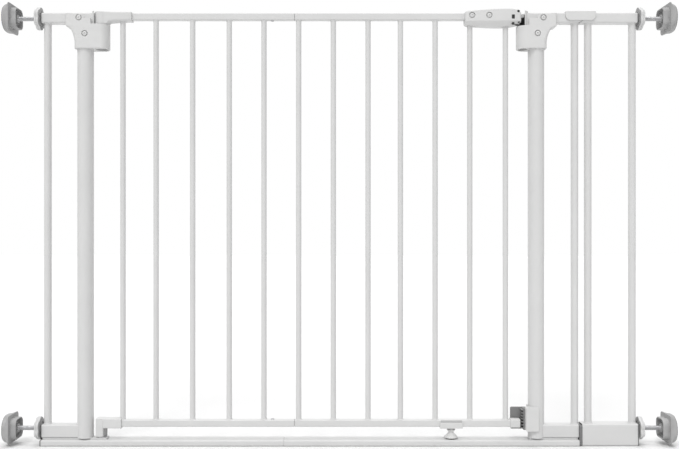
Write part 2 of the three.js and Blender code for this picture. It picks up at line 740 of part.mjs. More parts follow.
const FOOT_X = 194.9;
const FOOT_CLEARANCE = 1.8; // how far the screwed-up foot stands above the threshold

function buildDoorFoot() {
  const saddle = block(FOOT_X - 19.8, FOOT_X + 19.8, -9, 9, 29.6, 39.5);
  const half = DOOR_TUBE / 2 + GAP;
  const rail = block(FOOT_X - 21, FOOT_X + 21, -half, half, DOOR_LOW_Z - GAP, 45);
  const bore = rod("z", 4.2 + GAP, 20, 45, FOOT_X, 0);
  piece("foot_clamp", cut(saddle, rail, bore), MOULDED);

  // A conical foot, a neck, and a conical finger grip under the clamp.
  const base = THRESHOLD.height + FOOT_CLEARANCE;
  const neck = base + 9;
  const profile = [
    [0, base],
    [11, base],
    [11.9, base + 0.9],
    [11.3, base + 1.9],
    [5.3, neck - 0.7],
    [4, neck],
    [7.3, neck + 4.8],
    [7.3, neck + 5.5],
    [4.2, neck + 5.5],
    [4.2, 38],
    [0, 38],
  ];
  piece("foot_screw", turned(profile, FOOT_X, 0), MOULDED);
}

// ---- Assembly -----------------------------------------------------------------------------

buildThreshold();
buildFrame();
buildHingeBracket();
buildLatchBracket();
buildBottomStop();
buildBottomPivot();
buildExtension();
buildWallMounts();
buildDoorFrame();
buildHingeCap();
buildHingeElbow();
[-1, 1].forEach((side) => {
  piece(side < 0 ? "handle_front_shell" : "handle_rear_shell", handleShell(side), MOULDED);
});
buildLatchSlider();
buildLatchSpring();
buildDoorFoot();

export default gate;
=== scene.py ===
import json
import math

import bmesh
import bpy
from mathutils import Matrix, Vector

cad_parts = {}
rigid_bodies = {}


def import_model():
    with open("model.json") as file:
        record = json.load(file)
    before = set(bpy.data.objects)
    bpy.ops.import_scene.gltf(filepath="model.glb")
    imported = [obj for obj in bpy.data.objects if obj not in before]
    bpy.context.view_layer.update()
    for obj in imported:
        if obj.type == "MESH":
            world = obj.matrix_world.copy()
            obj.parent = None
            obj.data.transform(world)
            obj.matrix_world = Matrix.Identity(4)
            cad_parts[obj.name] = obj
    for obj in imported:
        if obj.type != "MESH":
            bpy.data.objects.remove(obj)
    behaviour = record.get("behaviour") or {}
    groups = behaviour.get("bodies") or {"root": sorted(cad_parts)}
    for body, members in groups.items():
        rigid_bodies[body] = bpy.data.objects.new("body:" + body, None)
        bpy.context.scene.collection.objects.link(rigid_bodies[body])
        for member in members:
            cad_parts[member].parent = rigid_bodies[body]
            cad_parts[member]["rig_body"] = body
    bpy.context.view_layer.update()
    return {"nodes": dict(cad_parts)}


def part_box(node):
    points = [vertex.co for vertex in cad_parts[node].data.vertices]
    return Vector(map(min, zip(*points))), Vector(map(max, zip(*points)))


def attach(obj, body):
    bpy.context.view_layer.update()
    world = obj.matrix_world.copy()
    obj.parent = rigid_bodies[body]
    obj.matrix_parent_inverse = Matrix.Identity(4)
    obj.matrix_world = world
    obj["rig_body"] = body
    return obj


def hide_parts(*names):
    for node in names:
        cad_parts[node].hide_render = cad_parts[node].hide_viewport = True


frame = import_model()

# The safety gate's looks. Sizes are in millimetres until a mesh is made; the frame is in metres.
MM = 0.001
scene = bpy.context.scene


# ---- Where things are ----

def extent(node):
    """The lowest and highest corners of a CAD node, in millimetres."""
    low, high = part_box(node)
    return low / MM, high / MM


def middle(node):
    low, high = extent(node)
    return (low + high) / 2


def body_of(node):
    return frame["nodes"][node]["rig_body"]


# ---- Meshes ----

def mesh_object(name, points, faces):
    mesh = bpy.data.meshes.new(name)
    mesh.from_pydata([[c * MM for c in point] for point in points], [], faces)
    tidy = bmesh.new()
    tidy.from_mesh(mesh)
    bmesh.ops.remove_doubles(tidy, verts=tidy.verts, dist=1e-7)
    bmesh.ops.recalc_face_normals(tidy, faces=tidy.faces)
    tidy.to_mesh(mesh)
    tidy.free()
    obj = bpy.data.objects.new(name, mesh)
    scene.collection.objects.link(obj)
    return obj


def loft(name, rings, loop=False):
    """A skin through rings that have the same number of points: capped, or closed into a loop."""
    count = len(rings[0])
    points = [point for ring in rings for point in ring]
    faces = []
    for i in range(len(rings) if loop else len(rings) - 1):
        a = i * count
        b = (i + 1) % len(rings) * count
        for k in range(count):
            n = (k + 1) % count
            faces.append((a + k, a + n, b + n, b + k))
    if not loop:
        last = (len(rings) - 1) * count
        faces.append(tuple(reversed(range(count))))
        faces.append(tuple(range(last, last + count)))
    return mesh_object(name, points, faces)


def arc(centre_u, centre_v, radius, start, span, steps, radius_v=None):
    """Points on a round or elliptical arc, its angles in degrees."""
    points = []
    for i in range(steps + 1):
        angle = math.radians(start + span * i / steps)
        across = radius * math.cos(angle)
        up = (radius_v or radius) * math.sin(angle)
        points.append((centre_u + across, centre_v + up))
    return points


def rounded(width, height, radius, steps=5, low_radius=None):
    """A rounded rectangle as (u, v) points, counter-clockwise from the lower right corner."""
    points = []
    corners = [(1, -1, -90), (1, 1, 0), (-1, 1, 90), (-1, -1, 180)]
    for side_u, side_v, start in corners:
        r = low_radius if low_radius and side_v < 0 else radius
        u = side_u * (width / 2 - r)
        v = side_v * (height / 2 - r)
        points += arc(u, v, r, start, 90, steps)
    return points


def with_edge_points(outline, count=12):
    """The same rounded rectangle with points added along its straight sides."""
    per_corner = len(outline) // 4
    dense = []
    for i, (u, v) in enumerate(outline):
        dense.append((u, v))
        if i % per_corner == per_corner - 1:
            next_u, next_v = outline[(i + 1) % len(outline)]
            for k in range(1, count + 1):
                t = k / (count + 1)
                dense.append((u + (next_u - u) * t, v + (next_v - v) * t))
    return dense


def around(radius_at, steps):
    """Points once round a centre, at the radius given for each angle."""
    points = []
    for i in range(steps):
        angle = 2 * math.pi * i / steps
        radius = radius_at(angle)
        points.append((radius * math.cos(angle), radius * math.sin(angle)))
    return points


def circle(radius, steps=48):
    return around(lambda angle: radius, steps)


PLACERS = {
    "x": lambda u, v, t: (t, u, v),
    "y": lambda u, v, t: (u, t, v),
    "z": lambda u, v, t: (u, v, t),
}


def ring(outline, axis, t, centre=(0, 0)):
    """An outline laid across an axis at the distance t along it."""
    place = PLACERS[axis]
    return [place(centre[0] + u, centre[1] + v, t) for u, v in outline]


def slab(name, outline_at, axis, low, high, edge=0.4, centre=(0, 0)):
    """A prism with rounded rims. outline_at(inset) gives the outline drawn in by that much."""
    steps = 3
    rim = []
    for i in range(steps + 1):
        angle = math.pi / 2 * i / steps
        rim.append((edge * (1 - math.sin(angle)), edge * (1 - math.cos(angle))))
    levels = [(inset, low + rise) for inset, rise in rim]
    levels += [(inset, high - rise) for inset, rise in reversed(rim)]
    return loft(name, [ring(outline_at(inset), axis, t, centre) for inset, t in levels])


def block(name, low, high, radius=1.0, edge=0.4, axis="y"):
    """A block between two corners with rounded long edges along an axis and rounded rims."""
    order = {"x": (1, 2, 0), "y": (0, 2, 1), "z": (0, 1, 2)}[axis]
    u, v, t = order
    width = high[u] - low[u]
    height = high[v] - low[v]
    centre = ((low[u] + high[u]) / 2, (low[v] + high[v]) / 2)

    def outline_at(inset):
        return rounded(width - 2 * inset, height - 2 * inset, max(radius - inset, 0.05))

    return slab(name, outline_at, axis, low[t], high[t], edge, centre)


def prism(outline, axis, low, high):
    """A sharp-edged tool with one outline all along it."""
    return loft("tool", [ring(outline, axis, low), ring(outline, axis, high)])


def lathe(name, profile, axis="z", centre=(0, 0), steps=48):
    """A profile of (radius, distance along the axis) turned about the axis through a point."""
    return loft(name, [ring(circle(radius, steps), axis, t, centre) for radius, t in profile])


def drum(name, radius, low, high, axis="z", centre=(0, 0), steps=48, edge=0.3):
    """A round bar or disc with rounded rims."""
    return slab(name, lambda inset: circle(radius - inset, steps), axis, low, high, edge, centre)


def bake(obj):
    mesh = bpy.data.meshes.new_from_object(obj.evaluated_get(bpy.context.evaluated_depsgraph_get()))
    obj.modifiers.clear()
    obj.data = mesh


def combine(obj, tools, operation):
    for tool in tools:
        boolean = obj.modifiers.new("Combine", "BOOLEAN")
        boolean.solver = "EXACT"
        boolean.operation = operation
        boolean.object = tool
        bake(obj)
        bpy.data.objects.remove(tool)
    return obj


def carve(obj, *tools):
    return combine(obj, tools, "DIFFERENCE")


def weld(obj, *tools):
    return combine(obj, tools, "UNION")


def soften(obj, width, angle):
    """Rounds the sharp edges that cutting leaves."""
    bevel = obj.modifiers.new("Soft edges", "BEVEL")
    bevel.width = width * MM
    bevel.segments = 2
    bevel.limit_method = "ANGLE"
    bevel.angle_limit = math.radians(angle)
    bevel.use_clamp_overlap = True
    bake(obj)
    return obj


def dress(obj, material, body, crease=38):
    """Gives a finished piece its material, its shading and body."""
    obj.data.materials.clear()
    obj.data.materials.append(MATERIALS[material])
    obj.data.shade_smooth()
    obj.data.set_sharp_from_angle(angle=math.radians(crease))
    even = obj.modifiers.new("Even normals", "WEIGHTED_NORMAL")
    even.keep_sharp = True
    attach(obj, body)


def dress_as(obj, material, node, crease=38):
    """Dresses a piece that takes the place of a CAD node and moves with it."""
    dress(obj, material, body_of(node), crease)
    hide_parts(node)


# ---- Materials ----

def shader(name, colour, roughness, **sockets):
    """A Principled material whose steady values sit on the shader's own sockets."""
    material = bpy.data.materials.new(name)
    material.use_nodes = True
    inputs = material.node_tree.nodes["Principled BSDF"].inputs
    inputs["Base Color"].default_value = (*colour, 1)
    inputs["Roughness"].default_value = roughness
    for socket, value in sockets.items():
        inputs[socket.replace("_", " ")].default_value = value
    return material


def noise_field(tree, scale, detail=4, roughness=0.55, stretch=(1, 1, 1)):
    coordinates = tree.nodes.new("ShaderNodeTexCoord")
    mapping = tree.nodes.new("ShaderNodeMapping")
    mapping.inputs["Scale"].default_value = stretch
    field = tree.nodes.new("ShaderNodeTexNoise")
    field.inputs["Scale"].default_value = scale
    field.inputs["Detail"].default_value = detail
    field.inputs["Roughness"].default_value = roughness
    tree.links.new(coordinates.outputs["Object"], mapping.inputs["Vector"])
    tree.links.new(mapping.outputs["Vector"], field.inputs["Vector"])
    return field.outputs["Fac"]


FIELD_LOW, FIELD_HIGH = 0.3, 0.7  # noise between these is spread over the whole of a range


def ramp(tree, field, dark, light):
    """Turns a noise field into a colour between two colours."""
    node = tree.nodes.new("ShaderNodeValToRGB")
    node.color_ramp.elements[0].position = FIELD_LOW
    node.color_ramp.elements[0].color = (*dark, 1)
    node.color_ramp.elements[1].position = FIELD_HIGH
    node.color_ramp.elements[1].color = (*light, 1)
    tree.links.new(field, node.inputs["Fac"])
    return node.outputs["Color"]


def spread(tree, field, low, high):
    """Maps a noise field to a range of numbers."""
    node = tree.nodes.new("ShaderNodeMapRange")
    node.inputs["From Min"].default_value = FIELD_LOW
    node.inputs["From Max"].default_value = FIELD_HIGH
    node.inputs["To Min"].default_value = low
    node.inputs["To Max"].default_value = high
    tree.links.new(field, node.inputs["Value"])
    return node.outputs["Result"]


def vary(tree, colour, tone, shades, grain, roughness, layers):
    """Varies colour and roughness between two limits each by a noise field, and stacks bump
    layers of (field, depth in millimetres)."""
    inputs = tree.nodes["Principled BSDF"].inputs
    dark, light = (tuple(min(c * factor, 1.0) for c in colour) for factor in shades)
    tree.links.new(ramp(tree, tone, dark, light), inputs["Base Color"])
    tree.links.new(spread(tree, grain, *roughness), inputs["Roughness"])
    normal = None
    for field, depth in layers:
        node = tree.nodes.new("ShaderNodeBump")
        node.inputs["Strength"].default_value = 1.0
        node.inputs["Distance"].default_value = depth * MM
        tree.links.new(field, node.inputs["Height"])
        if normal:
            tree.links.new(normal, node.inputs["Normal"])
        normal = node.outputs["Normal"]
    tree.links.new(normal, inputs["Normal"])


def powder_coat(name, colour):
    """White powder coat on steel: a fine orange peel, soft sheen and the faintest mottling."""
    material = shader(name, colour, 0.4, Specular_IOR_Level=0.45)
    tree = material.node_tree
    mottle = noise_field(tree, 14, 5)
    peel = noise_field(tree, 700, 3)
    grain = noise_field(tree, 2600, 2)
    vary(tree, colour, mottle, (0.972, 1.02), peel, (0.34, 0.47), [(peel, 0.05), (grain, 0.012)])
    return material


def moulded(name, colour, roughness=0.5):
    """Injection-moulded plastic: spark-eroded grain, faint flow shading."""
    material = shader(name, colour, roughness, Specular_IOR_Level=0.5)
    tree = material.node_tree
    flow = noise_field(tree, 22, 4, stretch=(1, 1, 2.2))
    grain = noise_field(tree, 1500, 4, 0.62)
    limits = (roughness - 0.07, roughness + 0.08)
    vary(tree, colour, flow, (0.965, 1.02), grain, limits, [(grain, 0.03)])
    return material


def zinc_plate(name, colour):
    """Bright zinc on turned steel: fine circumferential lines and cloudy passivation."""
    material = shader(name, colour, 0.36, Metallic=1.0)
    tree = material.node_tree
    cloud = noise_field(tree, 160, 5)
    lines = noise_field(tree, 900, 3, stretch=(0.15, 1, 1))
    vary(tree, colour, cloud, (0.82, 1.1), lines, (0.26, 0.48), [(lines, 0.012)])
    return material


def rubbery(name, colour):
    """Soft grey moulded rubber with a dusty, matt surface."""
    material = shader(name, colour, 0.66, Specular_IOR_Level=0.35)
    tree = material.node_tree
    dust = noise_field(tree, 60, 6)
    grain = noise_field(tree, 1200, 4)
    vary(tree, colour, dust, (0.9, 1.08), grain, (0.58, 0.75), [(grain, 0.035)])
    return material


MATERIALS = {
    "coat": powder_coat("White powder coat", (0.585, 0.585, 0.583)),
    "plastic": moulded("White moulded plastic", (0.59, 0.59, 0.587)),
    "nut": moulded("Pale grey moulded plastic", (0.56, 0.56, 0.56)),
    # painted shade: this darker grey stands for the shade on the bush in the hinge elbow and on each nut's
    # face towards the gate
    "bush": moulded("Grey bearing plastic", (0.3, 0.3, 0.3)),
    # painted shade: this grey colours the strip that darkens the rail's face above the foot clamp
    "liner": moulded("Pale grey liner", (0.42, 0.42, 0.42)),
    "dark": moulded("Dark grey moulded plastic", (0.16, 0.16, 0.162)),
    "stop": moulded("Grey soft stop", (0.2, 0.2, 0.2), 0.55),
    "black": moulded("Black moulded plastic", (0.012, 0.012, 0.012), 0.4),
    "zinc": zinc_plate("Bright zinc plate", (0.52, 0.52, 0.53)),
    "pad": rubbery("Grey moulded pad", (0.34, 0.34, 0.34)),
    "face": rubbery("Dark rubber face", (0.12, 0.12, 0.12)),
}
dict.fromkeys(("plastic", "nut", "bush", "liner"), "moulded_plastic")
dict.fromkeys(("dark", "stop", "black"), "black_plastic")


# ---- Shared parts ----

RAIL_WALL = 1.3
RAIL_SLOT = 10.15  # half the depth of the slots that the top rails lie in


def upright_bar(node):
    """A round steel bar with a welded fillet at each end, let a little into the rails."""
    sunk = 0.6
    fillet = 1.1
    low, high = extent(node)
    radius = (high.x - low.x) / 2
    centre = ((low.x + high.x) / 2, 0)
    bottom = low.z - sunk
    top = high.z + sunk
    ends = [(fillet, 0.0), (fillet, sunk), (fillet * 0.55, sunk + 0.4)]
    ends += [(fillet * 0.2, sunk + 1.1), (0, sunk + 2.2)]
    profile = [(0, bottom)]
    profile += [(radius + flare, bottom + rise) for flare, rise in ends]
    profile += [(radius, bottom + (top - bottom) * i / 6) for i in range(1, 6)]
    profile += [(radius + flare, top - rise) for flare, rise in reversed(ends)]
    profile += [(0, top)]
    bar = lathe(node + "_coated", profile, "z", centre)
    dress_as(bar, "coat", node, crease=50)


def rail(node, radius=2.4, ends=(0.0, 0.0), seam=None, height=None):
    """A rectangular steel tube along X with rounded corners, open at its ends. ends says how much
    longer it is than the CAD's at each end; seam gives its points' shift in X at each height."""
    low, high = extent(node)
    height = height or high.z - low.z
    width = high.y - low.y
    centre = (0, low.z + height / 2)
    x0 = low.x - ends[0]
    x1 = high.x + ends[1]
    outer = rounded(width, height, radius)
    rim = rounded(width - 0.5, height - 0.5, radius - 0.2)
    bore = (width - 2 * RAIL_WALL, height - 2 * RAIL_WALL)
    inner = rounded(*bore, max(radius - RAIL_WALL, 0.4))
    if seam:
        outer, rim, inner = (with_edge_points(outline) for outline in (outer, rim, inner))
    rings = [
        ring(inner, "x", x0, centre),
        ring(rim, "x", x0, centre),
        ring(outer, "x", x0 + 0.3, centre),
        ring(outer, "x", x1 - 0.3, centre),
        ring(rim, "x", x1, centre),
        ring(inner, "x", x1, centre),
    ]
    if seam:
        rings = [[(x + seam(z, i), y, z) for x, y, z in row] for i, row in enumerate(rings)]
    return loft(node + "_coated", rings, loop=True)


def screw(name, centre, facing, radius, body, material="plastic", dome=1.3):
    """A low domed screw head with a cross recess. facing is the way it looks, as axis and sign."""
    axis, sign = facing
    u, v, t = centre
    profile = [(0, t - sign * 1.5), (radius, t - sign * 1.5), (radius, t + sign * dome * 0.25)]
    profile += [
        (radius * math.cos(math.radians(a)), t + sign * dome * (0.25 + 0.75 * math.sin(math.radians(a))))
        for a in range(15, 90, 15)
    ]
    profile += [(0, t + sign * dome)]
    head = lathe(name, profile, axis, (u, v), 40)
    arm = radius * 0.42
    width = radius * 0.13
    place = PLACERS[axis]
    for half_u, half_v in ((arm, width), (width, arm)):
        depth = sorted((t + sign * dome * 0.35, t + sign * (dome + 1)))
        corners = place(u - half_u, v - half_v, depth[0]), place(u + half_u, v + half_v, depth[1])
        carve(head, block("tool", *corners, width * 0.5, 0.02, axis))
    dress(head, material, body)


def recess_tool(centre, facing, radius, depth):
    """A shallow round pocket for a screw head, with a chamfered mouth."""
    axis, sign = facing
    u, v, t = centre
    profile = [
        (0, t - sign * depth),
        (radius, t - sign * depth),
        (radius, t - sign * 0.3),
        (radius + 0.7, t + sign * 0.4),
        (0, t + sign * 0.4),
    ]
    return lathe("tool", profile, axis, (u, v), 40)


# ---- Frame ----

def build_columns():
    for node in ("hinge_column", "latch_column"):
        low, high = extent(node)
        radius = (high.x - low.x) / 2
        foot = low.z - 0.5
        profile = [(0, foot), (radius, foot), (radius + 0.5, foot + 0.3), (radius + 0.4, foot + 0.9)]
        profile += [(radius, foot + 2)]
        profile += [(radius, foot + (high.z - foot) * i / 6) for i in range(1, 6)]
        profile += [(radius, high.z), (0, high.z)]
        column = lathe(node + "_coated", profile, "z", ((low.x + high.x) / 2, 0), 64)
        dress_as(column, "coat", node, crease=50)


def build_bars():
    for node in frame["nodes"]:
        if node.startswith(("frame_bar_", "extension_bar_", "door_bar_")):
            upright_bar(node)


def joint_curve(side):
    """The S-shaped meeting line of the top rails, as a shift in X at each height."""
    bend_z = extent("extension_clip")[0].z - 1.6

    def shift(z, i):
        if (i >= 3) != (side < 0):
            return 0.0  # the rail's far end
        return -0.2 + 2.8 * math.tanh((z - bend_z) / 1.3)

    return shift


def build_rails():
    """The rails of the frame and its extension, and the core in the joint of the top rails."""
    forms = {
        "top_rail_left": {},
        "top_rail_right": {"ends": (0, -0.5), "seam": joint_curve(-1)},
        "bottom_rail_left": {"ends": (0, 0.8)},
        "bottom_rail_right": {"ends": (0.8, 0)},
        "extension_top_rail": {"ends": (-0.5, 0), "seam": joint_curve(1)},
        "extension_bottom_rail": {"radius": 3},
    }
    for node, form in forms.items():
        dress_as(rail(node, **form), "coat", node)
    low, high = extent("top_rail_right")
    inner = RAIL_WALL + 0.3
    corners = [high.x - 9, low.y + inner, low.z + inner], [high.x + 9, high.y - inner, high.z - inner]
    core = block("top_rail_joiner", *corners, 1.2, 0.3, "x")
    dress(core, "dark", "frame")


THRESHOLD_SCREWS = (-119.0, -74.0)  # the two screws under the bar, one on each side of its seam


def threshold_height():
    """The height of the bar itself, whose joiner lies midway in it."""
    low, high = extent("threshold_joiner")
    return low.z + high.z


def build_threshold():
    """The two halves of the bar, each with the raised strip its columns stand on, and the screws
    that hold the joiner, sunk in the underside."""
    top = threshold_height()
    seat_half = 8.5
    seats = {
        "left": (extent("threshold_left")[0].x + 1, middle("bottom_pivot").x + 10),
        "right": (extent("latch_column")[0].x + 1, extent("threshold_right")[1].x - 1),
    }
    for side, (x0, x1) in seats.items():
        node = "threshold_" + side
        bar = rail(node, radius=2.6, height=top)
        low, high = extent(node)
        weld(bar, block("tool", [x0, -seat_half, top - 0.6], [x1, seat_half, high.z], 1.5, 0.3, "z"))
        for x in THRESHOLD_SCREWS:
            if low.x < x < high.x:
                carve(bar, recess_tool((x, 0, 0), ("z", -1), 3.6, 0.9))
        dress_as(bar, "coat", node)
    for i, x in enumerate(THRESHOLD_SCREWS):
        screw(f"threshold_screw_{i + 1}", (x, 0, 0.75), ("z", -1), 3.2, "frame", "zinc", 0.7)


def build_end_plugs():
    """Dark plugs that close the outer ends of the rails, bored for the spindles."""
    thickness = 1.9
    rails = {
        "top_left": "top_rail_left",
        "bottom_left": "bottom_rail_left",
        "top_right": "extension_top_rail",
        "bottom_right": "extension_bottom_rail",
    }
    for end, node in rails.items():
        low, high = extent(node)
        x0 = low.x - thickness if end.endswith("left") else high.x
        corners = [x0, low.y + 0.2, low.z + 0.2], [x0 + thickness, high.y - 0.2, high.z - 0.2]
        plug = block("rail_plug_" + end, *corners, radius=2.2, edge=0.3, axis="x")
        hole = drum("tool", 4.5, x0 - 1, x0 + thickness + 1, "x", (0, middle("spindle_" + end).z))
        carve(plug, hole)
        dress(plug, "dark", "frame")
    low, high = extent("threshold_left")
    top = threshold_height() - 0.2
    corners = [low.x - thickness, low.y + 0.2, low.z + 0.2], [low.x, high.y - 0.2, top]
    cap = block("threshold_end_plug", *corners, radius=2.2, edge=0.3, axis="x")
    dress(cap, "dark", "frame")


# ---- Corner brackets ----

HALF = 17.0  # half the depth of a bracket
COLUMN_SLEEVE = 16.5  # from the column's middle to the sleeve's outer side
SLEEVE_CORNER = 9.0
CRADLE = (15.4, 17.4)  # inner and outer radius of the C-shaped wall on a bracket
CURVE_LOW, CURVE_HIGH = 700.0, 729.0  # between these heights the bracket widens to its flange
SCREW_POCKET = 5.4
SCREW_HEAD = 3.7


def bracket_left(z, flange):
    """How far the bracket reaches towards its flange at a height, and its corner radius there."""
    narrow, wide = -COLUMN_SLEEVE, -flange
    if z <= CURVE_LOW:
        return narrow, SLEEVE_CORNER
    if z >= CURVE_HIGH:
        return wide, 4.0
    t = (z - CURVE_LOW) / (CURVE_HIGH - CURVE_LOW)
    bend = 1 - math.sqrt(max(1 - t * t, 0.0))
    return narrow + (wide - narrow) * bend, 4 + (SLEEVE_CORNER - 4) * (1 - t) ** 1.5


def bracket_plan(left, corner, nose, nose_length, inset, steps=12):
    """A plan outline: a cornered flange end and an elliptical nose."""
    half = HALF - inset
    left += inset
    nose -= inset
    corner = min(max(corner - inset, 0.5), half - 0.01)
    length = nose_length - inset
    points = arc(left + corner, half - corner, corner, 90, 90, steps)
    points += arc(left + corner, corner - half, corner, 180, 90, steps)
    return points + arc(nose - length, 0, length, -90, 180, 2 * steps, half)


def arc_wall(axis_x, inner, outer, front, back, z0, z1):
    """A C-shaped upright wall, open towards +X, in the hinge side's coordinates."""
    steps = 28
    outline = arc(axis_x, 0, outer, 180 - back, front + back, steps)
    outline += reversed(arc(axis_x, 0, inner, 180 - back, front + back, steps))
    return prism(outline, "z", z0, z1)


def bracket(node, side, form):
    """A corner bracket. It is made in the hinge side's coordinates, x from the column's middle
    towards the door, and turned half round for the latch side."""
    name = node + "_moulding"
    low, high = extent(node)
    reach = [side * (corner.x - column_x(side)) for corner in (low, high)]
    flange, nose = -min(reach), max(reach)
    bottom = low.z
    top = form["top"]
    axis_x = form["axis"]
    inner, outer = CRADLE
    lid = 754.0  # the top of the loft before it is trimmed
    heights = [bottom, bottom + 0.15, bottom + 0.5, bottom + 1.0]
    heights += [bottom + 1 + (CURVE_LOW - bottom - 1) * i / 4 for i in range(1, 5)]
    heights += [CURVE_LOW + (CURVE_HIGH - CURVE_LOW) * math.sin(math.pi / 2 * i / 18) for i in range(1, 19)]
    heights += [CURVE_HIGH + (lid - CURVE_HIGH) * i / 6 for i in range(1, 7)]
    rings = []
    for z in heights:
        left, corner = bracket_left(z, flange)
        rise = min((z - bottom) / 1.0, 1.0)
        inset = 1.0 - math.sqrt(1 - (1 - rise) ** 2)
        rings.append(ring(bracket_plan(left, corner, nose, form["nose_length"], inset), "z", z))
    body = loft(name, rings)
    shelf = 742.0
    shelf_end = axis_x - outer + 1
    profile = [(-40, 751.2), (-26, 750.6), (-5, 748.0), (-1.5, 746), (1.0, shelf), (shelf_end, shelf)]
    profile += [(shelf_end, top), (nose + 5, top), (nose + 5, 770), (-40, 770)]
    carve(body, prism(profile, "y", -30, 30))
    rail_low, rail_high = extent("top_rail_left")
    channel_end = form["rail_end"] + 0.15
    filling = block("tool", [channel_end - 1, -10.3, top - 1], [axis_x, 10.3, rail_high.z - 1], 0.5, 0.1, "x")
    weld(body, arc_wall(axis_x, inner, outer, form["front"], form["back"], top - 2, high.z), filling)
    corners = [-45, -RAIL_SLOT, rail_low.z - 0.2], [channel_end, RAIL_SLOT, 770]
    channel = block("tool", *corners, 0.5, 0.05, "x")
    seat = drum("tool", inner, top, 780, "z", (axis_x, 0), 96, 0.05)
    carve(body, channel, seat, *form["cuts"])
    soften(body, 0.45, 48)
    for x, z in form["screws"]:
        carve(body, recess_tool((x, z, -HALF * side), ("y", -side), SCREW_POCKET, 2.4))
    place_at_column(body, side)
    dress_as(body, "plastic", node)
    for i, (x, z) in enumerate(form["screws"]):
        place_x = column_x(side) + side * x
        screw(f"{name}_screw_{i + 1}", (place_x, z, -HALF + 0.3), ("y", -1), SCREW_HEAD, "frame")


def column_x(side):
    return middle("hinge_column" if side > 0 else "latch_column").x


def place_at_column(obj, side):
    """Moves a piece made in the hinge side's coordinates to its own side of the gate."""
    half_turn = Matrix.Rotation(0 if side > 0 else math.pi, 4, "Z")
    obj.data.transform(Matrix.Translation((column_x(side) * MM, 0, 0)) @ half_turn)


def build_hinge_bracket():
    axis_x = middle("top_hinge_pin").x - column_x(1)
    bottom = extent("hinge_bracket")[0].z
    top = 732.5
    form = {
        "axis": axis_x,
        "top": top,
        "nose_length": 13.2,
        "rail_end": extent("top_rail_left")[1].x - column_x(1),
        "front": 42,
        "back": 42,
        "cuts": [
            drum("tool", 11, bottom - 2, top - 7, "z", (axis_x, 0)),
            drum("tool", 5.4, bottom, top + 4, "z", (axis_x, 0)),
        ],
        "screws": [(-7.3, 743.1), (3.0, 715.6)],
    }
    bracket("hinge_bracket", 1, form)


LATCH_AXIS = 31.6  # from the latch column's middle to the middle of its cradle


def build_latch_bracket():
    bottom = extent("latch_bracket")[0].z
    top = 730.0
    oval = [(23.5 + 8 * u, 11.5 * v) for u, v in circle(1)]
    form = {
        "axis": LATCH_AXIS,
        "top": top,
        "nose_length": 20.8,
        "rail_end": column_x(-1) - extent("top_rail_right")[0].x,
        "front": 84,
        "back": 52,
        "cuts": [prism(oval, "z", bottom - 2, top - 7)],
        "screws": [(-9.3, 743.0), (0.7, 715.9)],
    }
    bracket("latch_bracket", -1, form)


# ---- Door ----

def build_door_rails():
    for level in ("top", "bottom"):
        seam = extent(f"door_{level}_rail_left")[1]
        width = 2 * seam.y
        for half in ("left", "right"):
            node = f"door_{level}_rail_{half}"
            low, high = extent(node)
            x0 = low.x if half == "left" else seam.x + 0.3
            centre = (0, (low.z + high.z) / 2)
            rim = [(0, 0.9), (0.1, 0.35), (0.5, 0)]
            spans = [(x0 + along, inset) for along, inset in rim]
            spans += [(high.x - along, inset) for along, inset in reversed(rim)]
            rings = []
            for x, inset in spans:
                side = width - 2 * inset
                rings.append(ring(rounded(side, side, 1.9 - inset * 0.6), "x", x, centre))
            bar = loft(node + "_coated", rings)
            dress_as(bar, "coat", node)
    high = extent("door_bottom_rail_left")[1]
    joint = high.x - 38.5
    screw("door_joint_screw_bottom", (joint, 0, high.z + 0.3), ("z", 1), 3.1, "door", "zinc")
    low = extent("door_top_rail_left")[0]
    screw("door_joint_screw_top", (joint, 0, low.z - 0.3), ("z", -1), 3.1, "door", "zinc")


def sleeve(name, stations, steps=6):
    """A body along X through stations of (x, half width, bottom, top, corner radius), with a sixth
    number where the lower corners have a radius of their own."""
    rings = []
    for x, half, bottom, top, *corners in stations:
        width = max(2 * half, 0.1)
        height = max(top - bottom, 0.1)
        corner, low_corner = (min(r, width / 2.02, height / 2.02) for r in (corners[0], corners[-1]))
        outline = rounded(width, height, corner, steps, low_corner)
        rings.append(ring(outline, "x", x, (0, (bottom + top) / 2)))
    return loft(name, rings)


